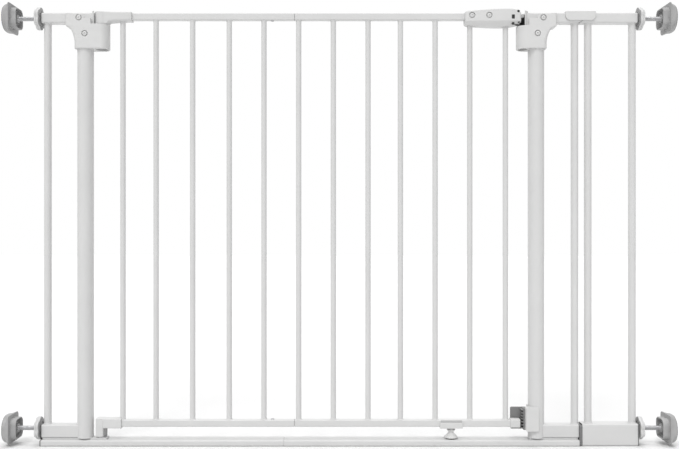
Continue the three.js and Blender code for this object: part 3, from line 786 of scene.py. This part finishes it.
def build_hinge_cap():
    """A round hub over the pin that runs out into a sleeve with a flange on the top rail."""
    low, high = extent("hinge_cap")
    axis_x = middle("top_hinge_pin").x
    hub = axis_x - low.x
    arm = 11.0
    end = high.x
    level = -396.0  # where the top has come down to the sleeve's height
    step_start = axis_x + 9.5
    step_end = axis_x + 12
    step = 4.6  # how far the underside rises from the hub to the sleeve

    def under(x):
        if x < step_start:
            return low.z
        if x < step_end:
            return low.z + step * math.sin(math.pi / 2 * (x - step_start) / (step_end - step_start))
        return low.z + step + 1.6 * (x - step_end) / (end - step_end)

    def over(x):
        return high.z - 1.4 * min((x - low.x) / (level - low.x), 1.0)

    def low_corner(x):
        return 2.0 + 2.6 * min(max((x - axis_x - 8) / 16, 0.0), 1.0)

    stations = []
    turn_steps = 22
    for i in range(turn_steps + 1):
        angle = math.radians(180 - 118 * i / turn_steps)
        x = axis_x + hub * math.cos(angle)
        stations.append((x, max(hub * math.sin(angle), 0.05)))
    first = stations[-1]
    for i in range(1, 13):
        t = i / 12
        x = first[0] + (end - 3.6 - first[0]) * t
        stations.append((x, first[1] + (arm - first[1]) * min(t * 3, 1.0) - 1.3 * t))
    rows = [(x, half, under(x), over(x), 2.2, low_corner(x)) for x, half in stations]
    tail = stations[-1][1]
    for x, more in [(end - 3.5, 0.5), (end - 3.2, 0.75), (end - 0.6, 0.75), (end, 0.3)]:
        rows.append((x, tail + more, under(x) - more * 0.5, over(x) + more * 0.3 - 0.2, 2.2, low_corner(x)))
    cap = sleeve("hinge_cap_moulding", rows)
    bore = drum("tool", 5.3, low.z - 3, extent("top_hinge_pin")[1].z + 0.3, "z", (axis_x, 0))
    carve(cap, bore)
    dress_as(cap, "plastic", "hinge_cap")
    pin_low, pin_high = extent("top_hinge_pin")
    profile = [(0, pin_low.z), (3.6, pin_low.z), (5, pin_low.z + 1.6)]
    profile += [(5, pin_high.z - 0.5), (4.5, pin_high.z), (0, pin_high.z)]
    pin = lathe("top_hinge_pin_turned", profile, "z", (axis_x, 0))
    dress_as(pin, "zinc", "top_hinge_pin")


def build_hinge_elbow():
    """The elbow on the bottom rail, whose leg turns on the pivot, with a bush inside it whose darker grey is
    painted shade.
    """
    low, high = extent("hinge_elbow")
    axis_x = middle("bottom_pivot").x
    corners = [low.x, low.y + 0.6, low.z], [axis_x + 3.6, high.y - 0.6, high.z]
    leg = block("hinge_elbow_moulding", *corners, 2.4, 0.7, "z")
    arm = block("tool", [low.x + 3, low.y + 1.2, 29.7], [high.x, high.y - 1.2, high.z - 0.01], 1.8, 0.7, "x")
    flange = block("tool", [high.x - 2.2, low.y + 0.7, 29.2], [high.x, high.y - 0.7, high.z], 1.8, 0.5, "x")
    weld(leg, arm, flange)
    bush_at = (axis_x + 0.7, 1.4)
    bush_r = 7.5
    carve(leg, drum("tool", bush_r + 0.1, low.z - 1, 33, "z", bush_at))
    soften(leg, 0.3, 50)
    dress_as(leg, "plastic", "hinge_elbow")
    # painted shade: the bush takes a darker grey for the shade behind the leg
    bush = drum("hinge_elbow_bush", bush_r, low.z + 0.1, 32.8, "z", bush_at, 64, 0.5)
    carve(bush, drum("tool", 4.2, low.z - 1, 31, "z", (axis_x, 0)))
    dress(bush, "bush", "door")

    pivot_low, pivot_high = extent("bottom_pivot")
    z = pivot_low.z - 0.3
    top = pivot_high.z
    washer = pivot_high.x - axis_x
    profile = [(0, z), (washer - 0.2, z), (washer, z + 0.3), (washer, z + 1.5), (washer - 0.4, z + 1.8)]
    profile += [(4, z + 1.8), (4, top - 1), (3, top), (0, top)]
    pivot = lathe("bottom_pivot_turned", profile, "z", (axis_x, 0))
    dress_as(pivot, "zinc", "bottom_pivot")


def build_end_cap():
    low, high = extent("door_end_cap")
    x = [low.x, low.x + 0.2, low.x + 0.8, low.x + 1.6, high.x - 1.4, high.x - 0.4, high.x]
    inset = [0.9, 0.3, 0.0, 0.35, 0.35, 0.6, 1.4]
    rows = [(a, high.y - b, low.z + b, high.z - b, 2.2) for a, b in zip(x, inset)]
    cap = sleeve("door_end_cap_moulding", rows)
    dress_as(cap, "plastic", "door_end_cap")


# ---- Handle and latch ----

NOSE = (735.6, 755.4)  # bottom and top of the latch's nose
HANDLE_SCREWS = ((230.1, 747.9), (259.8, 747.9))
WINDOW = (301.4, 745.3)
BLIND_HOLES = ((310.6, 755.0), (301.4, 733.8))


def handle_section(x, half, top, bottom, crease, steps=5):
    """One cross-section of the handle: upright sides above a crease, drawn in below it."""
    crown = 2.0
    points = arc(half - crown, top - crown, crown, 0, 90, steps)
    points += [(-y, z) for y, z in reversed(points)]
    tuck = 0.66 * half
    foot = 2.6
    left = [(-half, crease + 0.5), (-half + 0.35, crease - 0.5)]
    left += arc(foot - tuck, bottom + foot, foot, 205, 65, steps)
    points += left
    points += [(-y, z) for y, z in reversed(left)]
    return [(x, y, z) for y, z in points]


def ease_sine(t):
    return math.sin(math.pi / 2 * min(max(t, 0.0), 1.0))


def past(u, start, span):
    """Nothing up to a start, then growing with the square of the way along the span."""
    return max((u - start) / span, 0.0) ** 2


def build_handle():
    """Two shells that nearly meet in the middle, hollowed for the rail, two bars and the latch."""
    low, high = extent("handle_front_shell")
    x0 = low.x
    x1 = high.x
    outer_half = -low.y
    tube_low, tube_high = extent("door_top_rail_left")
    steps = 44
    for side, name in ((-1, "handle_front_shell"), (1, "handle_rear_shell")):
        rings = []
        for i in range(steps + 1):
            t = i / steps
            x = x0 + (x1 - x0) * (0.5 - 0.5 * math.cos(math.pi * t))
            u = (x - x0) / (x1 - x0)
            round_in = math.sqrt(max(1 - (1 - min(u / 0.05, 1)) ** 2, 0))
            taper = 1.7 * past(u, 0.72, 0.28)
            top = high.z - 0.1 - 4.6 * (1 - ease_sine(u / 0.8)) - 2.3 * past(u, 0.76, 0.24)
            bottom = low.z - 0.1 + 3.0 * (1 - ease_sine(u / 0.62)) + 4.6 * past(u, 0.66, 0.34)
            half = (outer_half - 3.0) + 3.0 * round_in - taper
            top -= 1.6 * (1 - round_in)
            bottom += 1.6 * (1 - round_in)
            crease = 737.3 + 1.6 * u
            rings.append(handle_section(x, half, top, bottom, crease))
        shell = loft(name + "_moulding", rings)
        far = 40 * side
        near = 0.08 * side  # leaves a fine seam between the shells
        keep_low = [x0 - 5, min(near, far), 700]
        keep_high = [x1 + 5, max(near, far), 780]
        combine(shell, [block("tool", keep_low, keep_high, 0.1, 0.02)], "INTERSECT")
        corners = [x0 - 3, -6.3, tube_low.z - 0.2], [x1 + 3, 6.3, tube_high.z + 0.2]
        tools = [block("tool", *corners, 1.8, 0.05, "x")]
        for node in ("door_bar_11", "door_bar_12"):
            tools.append(drum("tool", 5.3, 700, 745, "z", (middle(node).x, 0)))
        corners = [x1 - 6.2, -11.15, NOSE[0] - 0.25], [x1 + 5, 11.15, NOSE[1] + 0.25]
        mouth = block("tool", *corners, 3.0, 0.05, "x")
        well = block("tool", [269.6, -6.4, 756.0], [294.4, 6.4, 770], 3.2, 0.05, "z")
        tools += [mouth, well]
        carve(shell, *tools)
        soften(shell, 0.3, 42)
        if side < 0:
            add_handle_details(shell, outer_half)
        dress_as(shell, "plastic", name)
    shade_low = extent("latch_bracket")[0].x - 4.6
    # painted shadow: a black strip under the latch's nose stands for the shadow gap between the nose and the
    # bracket below
    nose_shadow_strip = block("handle_latch_guard", [shade_low, -9, 731.4], [315.4, -7, 732.6], 0.5, 0.2, "y")
    dress(nose_shadow_strip, "black", "door")


def add_handle_details(shell, half):
    """Screw pockets, the small dark window and two blind holes in the front shell."""
    face = -half
    for x, z in HANDLE_SCREWS:
        carve(shell, recess_tool((x, z, face), ("y", -1), 5.4, 2.8))
        screw(f"handle_screw_{round(x)}", (x, z, face + 1.3), ("y", -1), 3.6, "door")
    x, z = WINDOW
    carve(shell, block("tool", [x - 2.7, face - 1, z - 3.7], [x + 2.7, face + 1.5, z + 3.7], 0.8, 0.05))
    glass = block("handle_window", [x - 2.6, face + 1.0, z - 3.6], [x + 2.6, face + 1.9, z + 3.6], 0.7, 0.2)
    dress(glass, "black", "door")
    for i, (x, z) in enumerate(BLIND_HOLES):
        carve(shell, drum("tool", 2.35, face - 2, face + 3.4, "y", (x, z), 32, 0.05))
        plug = drum(f"handle_blind_hole_{i + 1}", 2.3, face + 1.9, face + 3.8, "y", (x, z), 32, 0.1)
        dress(plug, "black", "door")


def build_latch_slider():
    """The latch's nose, stem, post and ribbed thumb button, in one moulding."""
    high = extent("latch_slider")[1]
    start = extent("handle_front_shell")[1].x + 0.15
    nose_half = high.y
    nose_bottom, nose_top = NOSE
    rows = [(start - 0.3, nose_half - 0.7, nose_bottom + 0.6, nose_top - 0.6, 3.0)]
    steps = 14
    for i in range(steps + 1):
        u = math.sin(math.pi / 2 * i / steps)
        round_off = 1 - math.sqrt(max(1 - max((u - 0.1) / 0.91, 0) ** 2, 0))
        half = nose_half - 5.4 * round_off
        x = start + (high.x - start) * u
        rows.append((x, half, nose_bottom + 4.2 * round_off, nose_top - 5 * round_off, 3.2))
    nose = sleeve("latch_slider_moulding", rows)
    rail_z = middle("door_top_rail_left").z
    stem = block("tool", [276.4, -4.1, rail_z - 4.1], [start + 2, 4.1, rail_z + 4.1], 1.0, 0.2, "x")
    post = block("tool", [282, -2.1, rail_z], [288, 2.1, high.z - 0.5], 0.8, 0.2, "z")
    button = block("tool", [276.1, -6, 756.5], [293.9, 6, high.z], 3, 0.7, "z")
    weld(nose, stem, post, button)
    for i in range(5):
        x = 279.5 + i * 2.75
        groove = block("tool", [x - 0.5, -4.4, high.z - 0.55], [x + 0.5, 4.4, high.z + 1], 0.45, 0.02, "z")
        carve(nose, groove)
    dress_as(nose, "plastic", "latch_slider")


def build_catch_lining():
    low, high = extent("latch_catch_lining")
    outer = CRADLE[0] - 0.3
    lining = arc_wall(LATCH_AXIS, outer - 2, outer, 82, 50, low.z, high.z)
    lining.name = "latch_catch_lining_moulding"
    place_at_column(lining, -1)
    soften(lining, 0.4, 50)
    dress_as(lining, "black", "latch_catch_lining")


def build_bottom_stop():
    """A clip round the latch column with a dark ribbed tongue that the door closes against."""
    low, high = extent("bottom_stop")
    column = middle("latch_column")
    clip = block("bottom_stop_moulding", [323.0, low.y, low.z], [high.x, 13, high.z], 3.0, 0.9)
    carve(clip, drum("tool", 14.1, low.z - 2, high.z + 2, "z", (column.x, 0), 96, 0.05))
    carve(clip, block("tool", [320, -6, low.z - 1], [329.5, 30, high.z + 1], 0.5, 0.1, "z"))
    soften(clip, 0.3, 50)
    dress_as(clip, "plastic", "bottom_stop")

    tongue = block("bottom_stop_tongue", [low.x, 8.4, low.z - 0.4], [329.2, 12.4, 63.8], 2.6, 0.5)
    inner = block("tool", [320.6, -5.6, low.z + 0.6], [329.2, 9, 63.8], 0.6, 0.2)
    weld(tongue, inner)
    ribs = 7
    for i in range(ribs):
        z = low.z + 3.2 + i * 5.2
        rib = block("tool", [317.0, -5.2, z], [321.5, 8.6, z + 1.7], 0.5, 0.15)
        weld(tongue, rib)
    carve(tongue, drum("tool", 14.15, low.z - 2, high.z + 2, "z", (column.x, 0), 96, 0.05))
    soften(tongue, 0.2, 50)
    dress(tongue, "stop", "frame")


# ---- Extension ----

def build_extension_joint():
    low, high = extent("extension_joint_plate")
    plate = block("extension_joint_plate_moulding", low, high, 3.5, 0.6, "x")
    dress_as(plate, "dark", "extension_joint_plate")

    low, high = extent("extension_clip")
    centre = (low.x + high.x) / 2
    half = (high.x - low.x) / 2
    outline = [(half, high.z - 1.4), (half - 0.5, high.z - 0.4), (half - 1.4, high.z)]
    outline += [(-u, z) for u, z in reversed(outline)]
    corner_x, corner_z = 9.5, 8.5
    corner = arc(corner_x - half, low.z + corner_z, corner_x, 180, 90, 12, corner_z)
    outline += corner
    outline += [(-u, z) for u, z in reversed(corner)]

    def outline_at(inset):
        shrink_u = (half - inset) / half
        mid = (low.z + high.z) / 2
        shrink_v = 1 - 2 * inset / (high.z - low.z)
        return [(centre + u * shrink_u, mid + (z - mid) * shrink_v) for u, z in outline]

    clip = slab("extension_clip_moulding", outline_at, "y", low.y, high.y, 1.3)
    top = extent("top_rail_right")[1].z + 0.15
    carve(clip, block("tool", [low.x - 3, -RAIL_SLOT, 700], [high.x + 3, RAIL_SLOT, top], 0.6, 0.05, "x"))
    dress_as(clip, "plastic", "extension_clip")


# ---- Wall mounts ----

ENDS = ("top_left", "bottom_left", "top_right", "bottom_right")


def thread(name, radius, low, high, z):
    """A threaded rod along X: a round section whose radius follows a helix, with plain tips."""
    pitch = 2.0
    depth = 0.62
    per_turn = 8
    rows = []
    length = high - low
    count = int(length / pitch * per_turn)
    for i in range(count + 1):
        x = low + length * i / count
        taper = min(1.0, (x - low + 0.4) / 2.2, (high - x + 0.4) / 2.2)

        def radius_at(angle):
            phase = (x / pitch - angle / (2 * math.pi)) % 1.0
            groove = min(abs(phase - 0.5) * 2.6, 1.0)
            return radius - depth * (1 - groove) - (1 - taper) * 1.1

        rows.append(ring(around(radius_at, 20), "x", x, (0, z)))
    return loft(name, rows)


def build_spindle(end):
    node = "spindle_" + end
    low, high = extent(node)
    rod = thread(node + "_threaded", (high.z - low.z) / 2, low.x, high.x, (low.z + high.z) / 2)
    dress_as(rod, "zinc", node, crease=70)


def lobed(radius, depth, lobes=6):
    """A round outline with lobes, one of them at the top."""
    def radius_at(angle):
        wave = math.cos(lobes * (angle - math.pi / 2))
        return radius + depth * (1 - (1 - (wave + 1) / 2) ** 1.6 * 2)

    return around(radius_at, 96)


def mount_faces(node):
    """The middle of a nut or pad across its axis, which way its wall lies, and where its faces
    towards the gate and the wall are."""
    low, high = extent(node)
    place = (0, middle(node).z)
    if middle(node).x > 0:
        return place, 1, low.x, high.x
    return place, -1, high.x, low.x


def build_nut(end):
    """A handwheel: six lobes, a raised hub towards the wall, a sunk web on both faces and a grey
    ring on the face towards the gate, whose grey is painted shade."""
    node = "adjusting_nut_" + end
    place, wall, gate_face, wall_face = mount_faces(node)
    thickness = abs(wall_face - gate_face)

    def at(distance):
        return gate_face + wall * distance

    levels = [  # distance from the face towards the gate, radius
        (0.9, 12.0), (0.9, 18.8), (1.5, 19.1), (thickness * 0.42, 19.1),
        (thickness * 0.46, 18.4), (thickness * 0.54, 18.4), (thickness * 0.58, 19.0),
        (thickness - 1.3, 18.6), (thickness - 0.5, 18.1), (thickness - 0.1, 17.2),
        (thickness, 16.0), (thickness, 12.0),
    ]
    rings = []
    for distance, radius in levels:
        strength = 1.25 if radius > 15 else 0.6 if radius > 12 else 0
        outline = lobed(radius - 0.4, strength)
        rings.append(ring(outline, "x", at(distance), place))
    web = [(1.6, 11.2), (1.6, 7.6), (0.3, 7.0), (0.0, 6.4), (0.0, 4.5)]
    face = [(thickness - d, r) for d, r in web]
    start = [ring(circle(r, 96), "x", at(d), place) for d, r in reversed(web)]
    finish = [ring(circle(r, 96), "x", at(d), place) for d, r in face]
    nut = loft(node + "_moulding", start + rings + finish, loop=True)
    dress_as(nut, "nut", node)
    # painted shade: a grey ring darkens the nut's face towards the gate
    rows = [(0.8, circle(12.2, 96)), (0.05, circle(12.2, 96)), (0.0, circle(12.5, 96))]
    rows += [(0.0, lobed(17.9, 1.25)), (0.3, lobed(18.4, 1.25)), (0.8, lobed(18.4, 1.25))]
    disc = loft(node + "_face", [ring(outline, "x", at(d), place) for d, outline in rows], loop=True)
    dress(disc, "bush", "nut_" + end)


def build_pad(end):
    """A wall pad: a round-cornered plate with a rubber face and a squarer rim, and a hollow square
    body that is open towards the gate, with four gussets outside and a hub for the spindle."""
    node = "wall_pad_" + end
    place, wall, _, face = mount_faces(node)
    centre_z = place[1]

    def at(depth):
        return face - wall * depth

    levels = [  # depth, half width, half height, corner
        (1.2, 23.4, 23.0, 21.6), (1.6, 24.3, 23.8, 22), (3.0, 25.0, 24.4, 22), (6.5, 24.2, 23.9, 17),
        (9.2, 23.8, 24.2, 10), (10.8, 24.3, 24.6, 6.4), (11.2, 24.5, 24.7, 6), (12.2, 24.5, 24.7, 6),
        (12.5, 24.1, 24.3, 5.8), (12.5, 18.6, 18.6, 9.6), (12.9, 18.1, 18.1, 9.6), (14, 17.9, 17.9, 9.8),
        (22.4, 17.7, 17.7, 9.8), (23, 17.3, 17.3, 9.6), (23, 16.4, 16.4, 9), (22.6, 16, 16, 8.6),
        (15, 15.6, 15.6, 8.2), (15, 7.8, 7.8, 7.7), (21.6, 7.4, 7.4, 7.3), (22, 7, 7, 6.9),
    ]
    rings = []
    for depth, half_y, half_z, corner in levels:
        outline = rounded(2 * half_y, 2 * half_z, corner, 8)
        rings.append(ring(outline, "x", at(depth), place))
    pad = loft(node + "_moulding", rings)
    half_gusset = 0.7  # half a gusset's thickness
    for sign in (-1, 1):
        flat = [(4.5, 16.8), (4.5, 24.8), (17.5, 17.4), (17.5, 16.8)]
        across = [(at(depth), sign * reach) for depth, reach in flat]
        weld(pad, prism(across, "z", centre_z - half_gusset, centre_z + half_gusset))
        upright = [(at(depth), centre_z + sign * min(reach, 24.0)) for depth, reach in flat]
        weld(pad, prism(upright, "y", -half_gusset, half_gusset))
    hole = sorted((at(14), at(30)))
    carve(pad, drum("tool", 4.3, hole[0], hole[1], "x", place))
    dress_as(pad, "pad", node)

    rows = [(0.0, 21.4, 19.5), (0.0, 22.2, 20.3), (0.35, 22.9, 21.0), (1.3, 23.0, 21.1)]
    rings = []
    for depth, half, corner in rows:
        rings.append(ring(rounded(2 * half, 2 * half, corner, 8), "x", at(depth), place))
    sheet = loft(f"wall_pad_face_{end}", rings)
    for i in range(-4, 5):
        a, b = sorted((at(-0.5), at(0.45)))
        z = centre_z + i * 4.6
        groove = block("tool", [a, -30, z - 0.5], [b, 30, z + 0.5], 0.3, 0.02, "y")
        carve(sheet, groove)
    dress(sheet, "face", "spindle_" + end)


def build_wall_mounts():
    for end in ENDS:
        build_spindle(end)
        build_nut(end)
        build_pad(end)


# ---- Door foot ----

def build_foot():
    low, high = extent("foot_clamp")
    screw_low, screw_high = extent("foot_screw")
    centre = (middle("foot_screw").x, 0)
    saddle = block("foot_clamp_moulding", low, high, 1.6, 0.6, "z")
    tube = extent("door_bottom_rail_right")
    channel = block("tool", [low.x - 3, -6.25, tube[0].z - 0.15], [high.x + 3, 6.25, 60], 1.6, 0.05, "x")
    carve(saddle, channel, drum("tool", 4.5, low.z - 2, 60, "z", centre))
    soften(saddle, 0.4, 50)
    dress_as(saddle, "plastic", "foot_clamp")
    # painted shade: a grey strip between the clamp and the rail darkens the rail's face above the clamp
    corners = [low.x + 1, -6.9, high.z - 6], [high.x - 1, 6.9, tube[1].z - 0.4]
    liner = block("foot_clamp_liner", *corners, 1.4, 0.5, "z")
    carve(liner, block("tool", [low.x - 3, -6.2, tube[0].z - 3], [high.x + 3, 6.2, 60], 1.6, 0.05, "x"))
    dress(liner, "liner", "door")

    z = screw_low.z
    base_r = screw_high.x - centre[0]
    neck = z + 9
    profile = [(0, z), (base_r - 1.1, z), (base_r - 0.3, z + 0.4), (base_r, z + 1.1), (base_r - 0.4, z + 1.9)]
    profile += [(8.4, z + 4.9), (5.4, neck - 1.0), (4.6, neck - 0.5), (4.1, neck), (4.4, neck + 0.5)]
    profile += [(7.2, neck + 4.6), (7.3, neck + 5.2), (6.9, neck + 5.5), (4.2, neck + 5.5)]
    profile += [(4.2 - 0.5 * (i % 2), neck + 6 + i * 0.9) for i in range(10)]
    profile += [(4.0, screw_high.z), (0, screw_high.z)]
    foot = lathe("foot_screw_moulding", profile, "z", centre)
    dress_as(foot, "plastic", "foot_screw")


def build_hidden_parts():
    """The CAD's own solids that stay: the joiner inside the threshold and the latch's spring."""
    for node in ("threshold_joiner", "latch_spring"):
        obj = frame["nodes"][node]
        obj.data.materials.clear()
        obj.data.materials.append(MATERIALS["zinc"])


# ---- Lights, floor and camera ----

def light_room(tree):
    """Even light from the front and behind, dimmer from the two sides and dimmest from the right.
    The backdrop itself stays plain white."""
    background = tree.nodes["Background"]
    background.inputs["Strength"].default_value = 1.0
    direction = tree.nodes.new("ShaderNodeTexCoord")
    split = tree.nodes.new("ShaderNodeSeparateXYZ")
    across = tree.nodes.new("ShaderNodeMapRange")
    across.inputs["From Min"].default_value = -1.0
    walls = tree.nodes.new("ShaderNodeValToRGB")
    walls.color_ramp.elements[0].color = (0.75, 0.75, 0.75, 1)
    walls.color_ramp.elements[1].color = (0.45, 0.45, 0.45, 1)
    for position in (0.3, 0.7):
        walls.color_ramp.elements.new(position).color = (1, 1, 1, 1)
    tree.links.new(direction.outputs["Generated"], split.inputs[0])
    tree.links.new(split.outputs["X"], across.inputs["Value"])
    tree.links.new(across.outputs["Result"], walls.inputs["Fac"])
    seen = tree.nodes.new("ShaderNodeLightPath")
    backdrop = tree.nodes.new("ShaderNodeMixRGB")
    backdrop.inputs["Color2"].default_value = (1, 1, 1, 1)
    tree.links.new(seen.outputs["Is Camera Ray"], backdrop.inputs["Fac"])
    tree.links.new(walls.outputs["Color"], backdrop.inputs["Color1"])
    tree.links.new(backdrop.outputs["Color"], background.inputs["Color"])


def build_stage():
    corners = [(-9000, -6000, 0), (9000, -6000, 0), (9000, 9000, 0), (-9000, 9000, 0)]
    floor = mesh_object("floor", corners, [(0, 1, 2, 3)])
    material = shader("Pale floor", (0.72, 0.72, 0.72), 0.9, Specular_IOR_Level=0.1)
    tree = material.node_tree
    tone = ramp(tree, noise_field(tree, 3, 3), (0.715, 0.715, 0.715), (0.73, 0.73, 0.73))
    tree.links.new(tone, tree.nodes["Principled BSDF"].inputs["Base Color"])
    floor.data.materials.append(material)

    world = bpy.data.worlds.new("Studio")
    world.use_nodes = True
    light_room(world.node_tree)
    scene.world = world
    suns = [("key", (-0.25, -0.62, 0.9), 1.15), ("top", (0.1, 0.1, 1.0), 0.85)]
    for name, towards, strength in suns:
        lamp = bpy.data.lights.new(name, "SUN")
        lamp.energy = strength
        lamp.angle = math.radians(22)
        obj = bpy.data.objects.new(name, lamp)
        obj.rotation_euler = Vector(towards).to_track_quat("Z", "Y").to_euler()
        scene.collection.objects.link(obj)
    scene.view_settings.view_transform = "Standard"


def build_camera():
    camera = bpy.data.cameras.new("Camera")
    camera.sensor_width = 36
    camera.lens = 45.07
    obj = bpy.data.objects.new("Camera", camera)
    obj.location = (0, -1.487, 0.3847)
    obj.rotation_euler = (math.pi / 2, 0, 0)
    scene.collection.objects.link(obj)
    scene.camera = obj


build_camera()
build_columns()
build_bars()
build_rails()
build_threshold()
build_end_plugs()
build_hinge_bracket()
build_latch_bracket()
build_catch_lining()
build_bottom_stop()
build_extension_joint()
build_wall_mounts()
build_door_rails()
build_hinge_cap()
build_hinge_elbow()
build_end_cap()
build_handle()
build_latch_slider()
build_foot()
build_hidden_parts()
build_stage()
